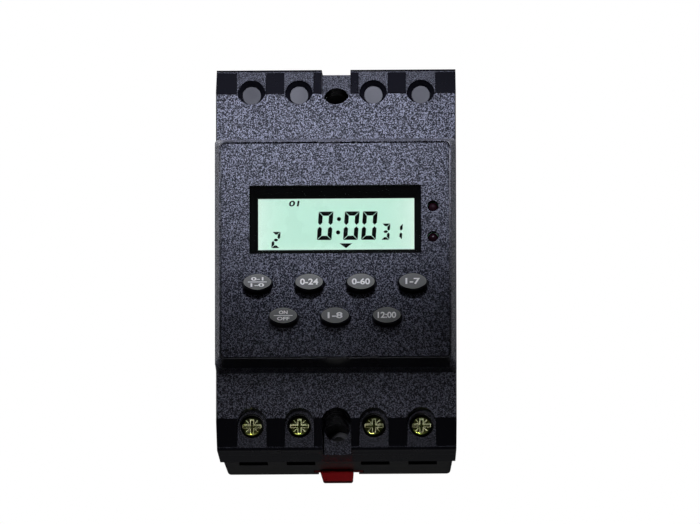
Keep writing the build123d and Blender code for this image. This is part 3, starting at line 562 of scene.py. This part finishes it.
# The slot and name of each plastic, its colour, the two ends of its roughness, its pits per metre, their
# depth in millimetres and its gloss.
plain_plastics = (
    ("base_plastic", "rear shell plastic", (0.005, 0.005, 0.006), 0.38, 0.5, 5200.0, 0.03, dark_gloss),
    ("holder_plastic", "holder plastic", (0.001, 0.001, 0.001), 0.8, 0.9, 4000.0, 0.02, 0.02),
    ("clip_plastic", "clip plastic", (0.25, 0.002, 0.003), 0.42, 0.52, 1500.0, 0.01, 0.03),
    ("switch_plastic", "switch plastic", (0.016, 0.016, 0.018), 0.4, 0.55, 3000.0, 0.02, usual_gloss),
    ("plunger_plastic", "plunger plastic", (0.05, 0.05, 0.055), 0.35, 0.45, 3000.0, 0.02, usual_gloss),
    ("chip_plastic", "moulding compound", (0.02, 0.02, 0.021), 0.5, 0.62, 6000.0, 0.02, usual_gloss),
    ("relay_plastic", "relay case plastic", (0.02, 0.06, 0.2), 0.25, 0.35, 1200.0, 0.01, usual_gloss),
    ("film_plastic", "capacitor case plastic", (0.5, 0.36, 0.06), 0.35, 0.5, 2500.0, 0.02, usual_gloss),
    ("varistor_coat", "epoxy coat", (0.015, 0.09, 0.28), 0.2, 0.32, 700.0, 0.08, usual_gloss),
    ("resistor_coat", "cement coat", (0.25, 0.3, 0.27), 0.6, 0.75, 2500.0, 0.05, usual_gloss),
    ("contact_rubber", "contact rubber", (0.3, 0.1, 0.09), 0.6, 0.7, 3000.0, 0.02, usual_gloss),
    ("reflector_white", "reflector plastic", (0.8, 0.82, 0.8), 0.3, 0.4, 3000.0, 0.01, usual_gloss),
    ("capacitor_can", "capacitor sleeve", (0.02, 0.025, 0.05), 0.2, 0.3, 900.0, 0.01, usual_gloss),
)
for slot, name, color, low, high, pits_per_metre, depth, gloss in plain_plastics:
    finishes[slot] = plain_plastic(name, color, low, high, pits_per_metre, depth * mm, gloss)
dull_end(finishes["base_plastic"])
print(len(plain_plastics), "plain plastics")

# %% [markdown]
# ## Keys
#
# A key is black all through. Its top has a grey-green coat that ends on the rounding of the edge, so the
# colour follows a mask on the depth. On the rounding the colour is lighter: a painted highlight, which gives
# the top a thin pale rim inside the black edge.

# %% Key plastic
key_color = (0.004, 0.004, 0.005)
coat_color = (0.175, 0.174, 0.146)
painted_rim_highlight_color = (0.30, 0.30, 0.25)
coat_depth = 0.05 * mm
rim_depth = 0.006 * mm
key_top_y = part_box("timer_key")[0].y
key_grain_depth = 0.02 * mm
key_plastic, key_tree, key_shader = start_material(
    "key plastic", key_color, low=0.34, high=0.46, specular=dark_gloss
)
key_axes = place_axes(key_tree)
coat_and_painted_rim = maths(key_tree, "LESS_THAN", key_axes.outputs["Y"], key_top_y + coat_depth)
# The lighter colour on the rounding is a painted highlight.
blend_color(key_tree, key_shader, coat_and_painted_rim, painted_rim_highlight_color)
flat_top = maths(key_tree, "LESS_THAN", key_axes.outputs["Y"], key_top_y + rim_depth)
blend_color(key_tree, key_shader, flat_top, coat_color)
key_grain = node(key_tree, "ShaderNodeGroup", node_tree=spark_grain, Pits_per_metre=3500.0)
add_bump(key_tree, key_shader, key_grain.outputs["Height"], key_grain_depth, strength=0.5)
finishes["key_plastic"] = key_plastic
print("key tops", round(-key_top_y / mm, 1), "mm in front of the wall")

# %% [markdown]
# ## Display
#
# The display face glows pale green, a little brighter towards the edges. The glow is painted light: it stands
# in for the light of the room, which reaches the display only through a clear window, and so it is part of
# the material.

# %% Display face
painted_glow_middle = (0.50, 0.80, 0.66, 1)
painted_glow_edge = (0.78, 0.94, 0.84, 1)
painted_glow_strength = 1.04
painted_glow_steepness = 5.0
unlit_color = (0.06, 0.10, 0.08)
glass_low, glass_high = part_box("display_glass")
glass_middle = (glass_low + glass_high) / 2
glass_half = (glass_high - glass_low) / 2
display_face, face_tree, face_shader = start_material("display face", unlit_color, low=0.25, high=0.3)
face_axes = place_axes(face_tree)
across = away_from(face_tree, face_axes.outputs["X"], glass_middle.x)
across = maths(face_tree, "DIVIDE", across, glass_half.x)
upward = away_from(face_tree, face_axes.outputs["Z"], glass_middle.z)
upward = maths(face_tree, "DIVIDE", upward, glass_half.z)
outermost = maths(face_tree, "MAXIMUM", across, upward)
# The brighter edges of the display are painted light.
rim = maths(face_tree, "POWER", outermost, painted_glow_steepness, clamp=True)
glow = node(face_tree, "ShaderNodeMix", data_type="RGBA")
glow.inputs[6].default_value = painted_glow_middle
glow.inputs[7].default_value = painted_glow_edge
face_tree.links.new(rim, glow.inputs[0])
face_tree.links.new(glow.outputs[2], face_shader.inputs["Emission Color"])
face_shader.inputs["Emission Strength"].default_value = painted_glow_strength
finishes["display_face"] = display_face
print("display", round((glass_high.x - glass_low.x) / mm, 1), "mm wide")

# %% [markdown]
# The window is a pane of clear acrylic, so it is made of glass with the index of acrylic, and the display is
# seen through it. The two lamps are off, and a dark red lens with a little gloss is all that shows of them.

# %% Window pane and lamp lens
window_index = 1.49
window_color = (0.97, 0.985, 0.98)
window_clear, _, window_shader = start_material("window", window_color, low=0.0, high=0.03)
window_shader.inputs["Transmission Weight"].default_value = 1.0
window_shader.inputs["IOR"].default_value = window_index
finishes["window_clear"] = window_clear
lamp_color = (0.012, 0.004, 0.006)
lamp_lens, _, _ = start_material("lamp lens", lamp_color, low=0.14, high=0.22, specular=0.2)
finishes["lamp_red"] = lamp_lens
print("window", window_clear.name, "and", lamp_lens.name)

# %% [markdown]
# ## Metals and boards
#
# The terminal screws are steel with a yellow zinc coat, which is never one colour: it drifts from straw to
# olive. Inside the case there are zinc plated cages, copper straps and two green circuit boards.

# %% Metals
metal_edge = 0.08 * mm
scratches_per_metre = 4500.0
scratch_depth = 0.015 * mm


def plated_metal(name, first, second, low, high, per_metre):
    """A metal whose coat drifts between two colours."""
    material, tree, shader = start_material(name, first, low, high, metallic=1.0, edge=metal_edge)
    drift = node(
        tree, "ShaderNodeGroup", node_tree=patches, Patches_per_metre=per_metre, Low=0.0, High=1.0
    )
    blend_color(tree, shader, drift.outputs["Value"], second)
    scratches = node(
        tree, "ShaderNodeGroup", node_tree=spark_grain, Pits_per_metre=scratches_per_metre
    )
    add_bump(tree, shader, scratches.outputs["Height"], scratch_depth, strength=0.7)
    return material


# The slot and name of each metal, its two colours, the two ends of its roughness and its patches per metre.
metals = (
    ("screw_yellow_zinc", "yellow zinc", (0.15, 0.17, 0.03), (0.06, 0.08, 0.012), 0.08, 0.13, 900.0),
    ("screw_steel", "white zinc", (0.60, 0.61, 0.63), (0.48, 0.50, 0.54), 0.28, 0.4, 900.0),
    ("cage_steel", "cage zinc", (0.55, 0.55, 0.53), (0.42, 0.42, 0.38), 0.32, 0.45, 900.0),
    ("strap_copper", "strap copper", (0.72, 0.36, 0.20), (0.60, 0.28, 0.15), 0.3, 0.42, 900.0),
    ("can_steel", "can steel", (0.62, 0.62, 0.63), (0.52, 0.53, 0.55), 0.2, 0.3, 300.0),
)
for slot, *metal_values in metals:
    finishes[slot] = plated_metal(*metal_values)
print(len(metals), "metals")

# %% [markdown]
# The edges of the terminal screws are pale and less smooth. The pale colour is a painted highlight, for the
# glints on the edges. How far the rounded normal of the Bevel node leans away from the real one tells where
# an edge is near, and that gives the mask.

# %% Edges with a painted highlight
highlight_edge_radius = 0.20 * mm
highlight_edge_gain = 6.0
painted_highlight_color = (1.0, 1.0, 0.62)
highlight_edge_roughness = 0.24


def edge_mask(tree, radius, gain):
    """1 on the edges of a piece and 0 on its faces, from how far the rounded normal leans away."""
    rounded = node(tree, "ShaderNodeBevel", samples=6, Radius=radius)
    flat = node(tree, "ShaderNodeNewGeometry")
    lean = node(tree, "ShaderNodeVectorMath", operation="DOT_PRODUCT")
    tree.links.new(rounded.outputs["Normal"], lean.inputs[0])
    tree.links.new(flat.outputs["Normal"], lean.inputs[1])
    return maths(tree, "MULTIPLY", maths(tree, "SUBTRACT", 1.0, lean.outputs["Value"]), gain, clamp=True)


yellow_zinc = finishes["screw_yellow_zinc"]
zinc_tree = yellow_zinc.node_tree
zinc_shader = zinc_tree.nodes["Principled BSDF"]
painted_highlight = edge_mask(zinc_tree, highlight_edge_radius, highlight_edge_gain)
# The pale colour on the edges of the screws is a painted highlight.
blend_color(zinc_tree, zinc_shader, painted_highlight, painted_highlight_color)
add_roughness(zinc_tree, zinc_shader, maths(zinc_tree, "MULTIPLY", painted_highlight, highlight_edge_roughness))
print("worn edges", round(highlight_edge_radius / mm, 2), "mm wide")

# %% [markdown]
# A circuit board is green laminate with copper tracks under its lacquer. The boards lie deep inside the case,
# so drawn tracks would be lost on them, and a pattern of bricks stands for them in colour and in height.

# %% Circuit boards
laminate_color = (0.01, 0.10, 0.03)
track_color = (0.03, 0.20, 0.06)
track_height = 0.035 * mm
board_laminate, board_tree, board_shader = start_material("board", laminate_color, low=0.2, high=0.32)
tracks = node(board_tree, "ShaderNodeTexBrick", offset=0.37, Scale=120.0, Mortar_Size=0.05)
board_place = node(board_tree, "ShaderNodeTexCoord")
board_turn = node(board_tree, "ShaderNodeMapping", Rotation=(math.radians(90), 0, 0))
board_tree.links.new(board_place.outputs["Object"], board_turn.inputs["Vector"])
board_tree.links.new(board_turn.outputs["Vector"], tracks.inputs["Vector"])
blend_color(board_tree, board_shader, tracks.outputs["Fac"], track_color)
add_bump(board_tree, board_shader, tracks.outputs["Fac"], track_height, strength=0.6)
finishes["board_laminate"] = board_laminate
print(len(bpy.data.materials), "materials so far")

# %% [markdown]
# ## Handing out the finishes
#
# Every solid has a material slot in the record of the part. The table that was filled above, from slot to
# material, dresses them all, and a slot that has no material stops the script, so nothing stays grey.

# %% Assign
for part in frame["record"]["subparts"]:
    solid = nodes[part["node"]]
    solid.data.materials.clear()
    solid.data.materials.append(finishes[part["material_slot"]])
print(len(finishes), "finishes")

# %% [markdown]
# ## The segments of the display
#
# A number on such a display is made of seven bars. A bar is a thin plate whose ends are drawn out: to a point
# where it meets the middle bar, and to a mitre where it meets the top or the bottom bar. Each number is then
# a set of copies of such bars, turned and placed on a figure of eight, and the whole number leans a little
# to the right, as on most displays.

# %% One bar
ink_height = 0.03 * mm
tip_share = 0.05
looking_along = 0.9


def finish_piece(piece, name, material, body):
    """Names a piece, gives it its material and lets it ride on a body of the frame."""
    piece.name = name
    piece.data.name = name
    piece.data.materials.clear()
    piece.data.materials.append(material)
    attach(piece, body)


def make_bar(length, width, ends):
    """A flat bar along X. An end is a point in the middle, or a mitre that leaves the upper edge long."""
    runs = [width if end == "mitre" else width / 2 for end in ends]
    core_low = -length / 2 + runs[0]
    core_high = length / 2 - runs[1]
    clear_selection()
    bpy.ops.mesh.primitive_cube_add(size=1, location=((core_low + core_high) / 2, 0, 0))
    bar = bpy.context.active_object
    bar.scale = (core_high - core_low, ink_height, width)
    bpy.ops.object.transform_apply(location=True, rotation=True, scale=True)
    for side, end, run in zip((-1, 1), ends, runs):
        bpy.ops.object.mode_set(mode="EDIT")
        bpy.ops.mesh.select_mode(type="FACE")
        bpy.ops.mesh.select_all(action="DESELECT")
        bpy.ops.object.mode_set(mode="OBJECT")
        for face in bar.data.polygons:
            face.select = face.normal.x * side > looking_along
        bpy.ops.object.mode_set(mode="EDIT")
        bpy.ops.mesh.extrude_region_move(TRANSFORM_OT_translate={"value": (side * run, 0, 0)})
        tip = (0, 0, width / 2 if end == "mitre" else 0)
        bpy.ops.transform.resize(value=(1, 1, tip_share), center_override=tip)
        bpy.ops.object.mode_set(mode="OBJECT")
    return bar


def join_copies(pieces):
    """One object out of several, with its place in its mesh."""
    clear_selection()
    for piece in pieces:
        piece.select_set(True)
    bpy.context.view_layer.objects.active = pieces[0]
    bpy.ops.object.join()
    joined = bpy.context.active_object
    bpy.ops.object.transform_apply(location=True, rotation=True, scale=True)
    return joined


# %% Numbers from bars
# The bars of a figure of eight: to which side and how far up each lies, its turn, and the bar it copies.
bars_of_eight = {
    "top": (0, 1, 0, "lying"),
    "upper right": (1, 0.5, 90, "mitre first"),
    "lower right": (1, -0.5, 90, "point first"),
    "bottom": (0, -1, 180, "lying"),
    "lower left": (-1, -0.5, -90, "mitre first"),
    "upper left": (-1, 0.5, -90, "point first"),
    "middle": (0, 0, 0, "middle"),
}
bars_of_number = {
    "0": ("top", "upper right", "lower right", "bottom", "lower left", "upper left"),
    "1": ("upper right", "lower right"),
    "2": ("top", "upper right", "middle", "lower left", "bottom"),
    "3": ("top", "upper right", "middle", "lower right", "bottom"),
}
mitre_gap = 0.13 * mm
middle_gap = 0.28 * mm
display_lean = math.tan(math.radians(4.0))
ink_y = glass_low.y - ink_height
ink_color = (0.0005, 0.003, 0.002)
display_ink, _, _ = start_material("display segments", ink_color, low=0.5, high=0.6, specular=0.05)


def leaning(lean):
    """A matrix that moves what lies higher to the right."""
    matrix = Matrix.Identity(4)
    matrix[0][2] = lean
    return matrix


def display_number(name, number, x, z, width, height, bar_width):
    """A number in bars, its middle at x and z on the face of the display."""
    side_x = (width - bar_width) / 2
    end_z = (height - bar_width) / 2
    upright_length = height / 2 - mitre_gap - middle_gap
    upright_z = (height / 2 - mitre_gap + middle_gap) / 2
    sources = {
        "lying": make_bar(width - 2 * mitre_gap, bar_width, ("mitre", "mitre")),
        "mitre first": make_bar(upright_length, bar_width, ("mitre", "point")),
        "point first": make_bar(upright_length, bar_width, ("point", "mitre")),
        "middle": make_bar(2 * side_x - 2 * mitre_gap, bar_width, ("point", "point")),
    }
    made = []
    for bar_name in bars_of_number[number]:
        along, up, turn, source_name = bars_of_eight[bar_name]
        source = sources[source_name]
        copy = source.copy()
        copy.data = source.data.copy()
        rise = up * end_z if source_name in ("lying", "middle") else math.copysign(upright_z, up)
        copy.location = (along * side_x, 0, rise)
        copy.rotation_euler = (0, math.radians(turn), 0)
        bpy.context.scene.collection.objects.link(copy)
        made.append(copy)
    for source in sources.values():
        bpy.data.objects.remove(source)
    joined = join_copies(made)
    joined.data.transform(Matrix.Translation((x, ink_y, z)) @ leaning(display_lean))
    finish_piece(joined, name, display_ink, "case")


# %% [markdown]
# The display shows the hour, the minutes and the seconds of a clock that has just been set, and the step of
# the program at its lower left. The seconds and the step are smaller than the rest.

# %% Numbers on the display
# The width and height of the large and the small numbers, and the width of their bars.
large = (4.5 * mm, 8.95 * mm, 1.3 * mm)
small = (2.5 * mm, 5.1 * mm, 0.82 * mm)
display_number("display_hour", "0", -3.21 * mm, 7.90 * mm, *large)
display_number("display_minute_tens", "0", 4.84 * mm, 7.90 * mm, *large)
display_number("display_minute_units", "0", 10.39 * mm, 7.90 * mm, *large)
display_number("display_second_tens", "3", 15.42 * mm, 5.94 * mm, *small)
display_number("display_second_units", "1", 19.28 * mm, 5.94 * mm, *small)
display_number("display_step", "2", -18.34 * mm, 3.52 * mm, *small)
print("numbers of", round(large[1] / mm, 2), "and", round(small[1] / mm, 2), "mm")

# %% [markdown]
# The colon is two round dots that follow the lean of the numbers, and a flat triangle under the numbers is
# the pointer. Both are low prisms: a cylinder with many corners makes a dot, and one with three corners,
# stretched to the size of the real one and turned over, makes the pointer.


# %% Colon and pointer
def mesh_box(piece):
    """The lowest and the highest corner of a mesh."""
    points = [vertex.co for vertex in piece.data.vertices]
    low = Vector(min(point[axis] for point in points) for axis in range(3))
    high = Vector(max(point[axis] for point in points) for axis in range(3))
    return low, high


def ink_prism(name, corners, radius, x, y, z):
    """A flat mark with the given number of corners: a dot of the colon, or the small pointer."""
    clear_selection()
    bpy.ops.mesh.primitive_cylinder_add(vertices=corners, radius=radius, depth=ink_height)
    mark = bpy.context.active_object
    mark.name = name
    mark.rotation_euler = (math.radians(90), 0, 0)
    mark.location = (x, y, z)
    bpy.ops.object.transform_apply(location=True, rotation=True, scale=True)
    return mark


dot_corners = 24
dot_radius = 0.64 * mm
colon = join_copies([
    ink_prism("upper dot", dot_corners, dot_radius, 1.04 * mm, ink_y, 10.0 * mm),
    ink_prism("lower dot", dot_corners, dot_radius, 0.76 * mm, ink_y, 5.79 * mm),
])
finish_piece(colon, "display_colon", display_ink, "case")
pointer_width = 3.9 * mm
pointer_height = 1.5 * mm
pointer_place = Matrix.Translation((3.18 * mm, ink_y, 1.82 * mm))
pointer = ink_prism("pointer", corners=3, radius=1.0, x=0, y=0, z=0)
low, high = mesh_box(pointer)
fitted = Matrix.Diagonal((pointer_width / (high.x - low.x), 1, -pointer_height / (high.z - low.z), 1))
pointer.data.transform(pointer_place @ fitted)
finish_piece(pointer, "display_pointer", display_ink, "case")
print("pointer", round(pointer_width / mm, 1), "mm wide, dots", round(2 * dot_radius / mm, 2), "mm")

# %% [markdown]
# ## Strokes on the terminal screws
#
# Between the arms of the cross recess each terminal screw has four short strokes. That is the sign of a
# recess with steep walls, and a driver of the plain kind would slip in it. A stroke is a thin bar on the flat
# of the head, and it rides on its screw, so it turns with it.

# %% Strokes
terminal_numbers = (1, 2, 3, 4)
stroke_length = 1.15 * mm
stroke_width = 0.15 * mm
stroke_height = 0.04 * mm
stroke_radius = 1.90 * mm
for number in terminal_numbers:
    low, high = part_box(f"terminal_screw_{number}")
    axis = Vector(((low.x + high.x) / 2, low.y, (low.z + high.z) / 2))
    strokes = []
    for turn in (45, 135, 225, 315):
        clear_selection()
        bpy.ops.mesh.primitive_cube_add(size=1, location=(stroke_radius, 0, 0))
        stroke = bpy.context.active_object
        stroke.scale = (stroke_length, stroke_height, stroke_width)
        bpy.ops.object.transform_apply(location=True, rotation=True, scale=True)
        stroke.data.transform(Matrix.Translation(axis) @ Matrix.Rotation(math.radians(turn), 4, "Y"))
        strokes.append(stroke)
    star = join_copies(strokes)
    finish_piece(star, f"screw_strokes_{number}", yellow_zinc, f"screw_{number}")
print("strokes on", len(terminal_numbers), "screws")

# %% [markdown]
# ## Marks on the keys
#
# The keys are marked in white. The marks here are generic: plain numbers, and ON and OFF. Each is a text
# object with a slight thickness, made into a mesh, fitted to its height and width and laid on the top of its
# key.

# %% Signs
print_height = 0.025 * mm
letter_weight = 0.03
letter_depth = 0.5
print_color = (0.95, 0.93, 0.84)
mark_white, _, _ = start_material("white print", print_color, low=0.45, high=0.55)


def print_text(words, x, z, face_y, height, width):
    """Signs that lie on a face that looks at -Y, fitted to a height and a width."""
    clear_selection()
    bpy.ops.object.text_add(rotation=(math.radians(90), 0, 0))
    letters = bpy.context.active_object
    letters.data.body = words
    letters.data.resolution_u = 6
    letters.data.extrude = letter_depth
    letters.data.offset = letter_weight
    bpy.ops.object.convert(target="MESH")
    bpy.ops.object.transform_apply(location=True, rotation=True, scale=True)
    low, high = mesh_box(letters)
    middle = (low + high) / 2
    sizes = (width / (high.x - low.x), print_height / (high.y - low.y), height / (high.z - low.z), 1)
    seat = Matrix.Translation((x, face_y - print_height / 2, z))
    letters.data.transform(seat @ Matrix.Diagonal(sizes) @ Matrix.Translation(-middle))
    return letters


def divider_line(x, z, face_y, length, thickness):
    """The thin line between two words on one key."""
    clear_selection()
    bpy.ops.mesh.primitive_cube_add(size=1, location=(x, face_y - print_height / 2, z))
    line = bpy.context.active_object
    line.scale = (length, print_height, thickness)
    bpy.ops.object.transform_apply(location=True, rotation=True, scale=True)
    return line


print("print", round(print_height / mm, 3), "mm high")

# %% Key marks
single_height = 1.95 * mm
double_height = 1.1 * mm
double_offset = 0.97 * mm
divider_length = 5.8 * mm
divider_thickness = 0.22 * mm
# The words on each key, one or two rows, with their widths.
key_marks = {
    "recall": (("0-1", 3.8 * mm), ("1-0", 4.2 * mm)),
    "hour": (("0-24", 5.6 * mm),),
    "minute": (("0-60", 5.6 * mm),),
    "week": (("1-7", 4.5 * mm),),
    "mode": (("ON", 2.7 * mm), ("OFF", 3.8 * mm)),
    "timer": (("1-8", 4.6 * mm),),
    "clock": (("12:00", 5.7 * mm),),
}
for key_name, rows in key_marks.items():
    low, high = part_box(f"{key_name}_key")
    x = (low.x + high.x) / 2
    z = (low.z + high.z) / 2
    if len(rows) == 1:
        words, width = rows[0]
        marks = [print_text(words, x, z, low.y, single_height, width)]
    else:
        marks = [
            print_text(words, x, z + rise, low.y, double_height, width)
            for (words, width), rise in zip(rows, (double_offset, -double_offset))
        ]
        marks.append(divider_line(x, z, low.y, divider_length, divider_thickness))
    mark = join_copies(marks)
    finish_piece(mark, f"{key_name}_mark", mark_white, f"{key_name}_button")
print("marks on", len(key_marks), "keys")

# %% [markdown]
# The day is the number 01, in small leaning signs above the hour. On a display such signs have the curves of
# a typeface, so this one is made as the key marks are, and leans more than the numbers do.

# %% Day mark
day_height = 1.8 * mm
day_width = 3.1 * mm
day_x = -12.75 * mm
day_z = 14.97 * mm
day_lean = math.tan(math.radians(10.0))
day_mark = print_text("01", 0, 0, 0, day_height, day_width)
day_mark.data.transform(Matrix.Translation((day_x, glass_low.y, day_z)) @ leaning(day_lean))
finish_piece(day_mark, "display_day", display_ink, "case")
inked = [item.name for item in bpy.data.objects if display_ink.name in item.material_slots]
print("pieces on the display", sorted(inked))

# %% [markdown]

# %% json
import json
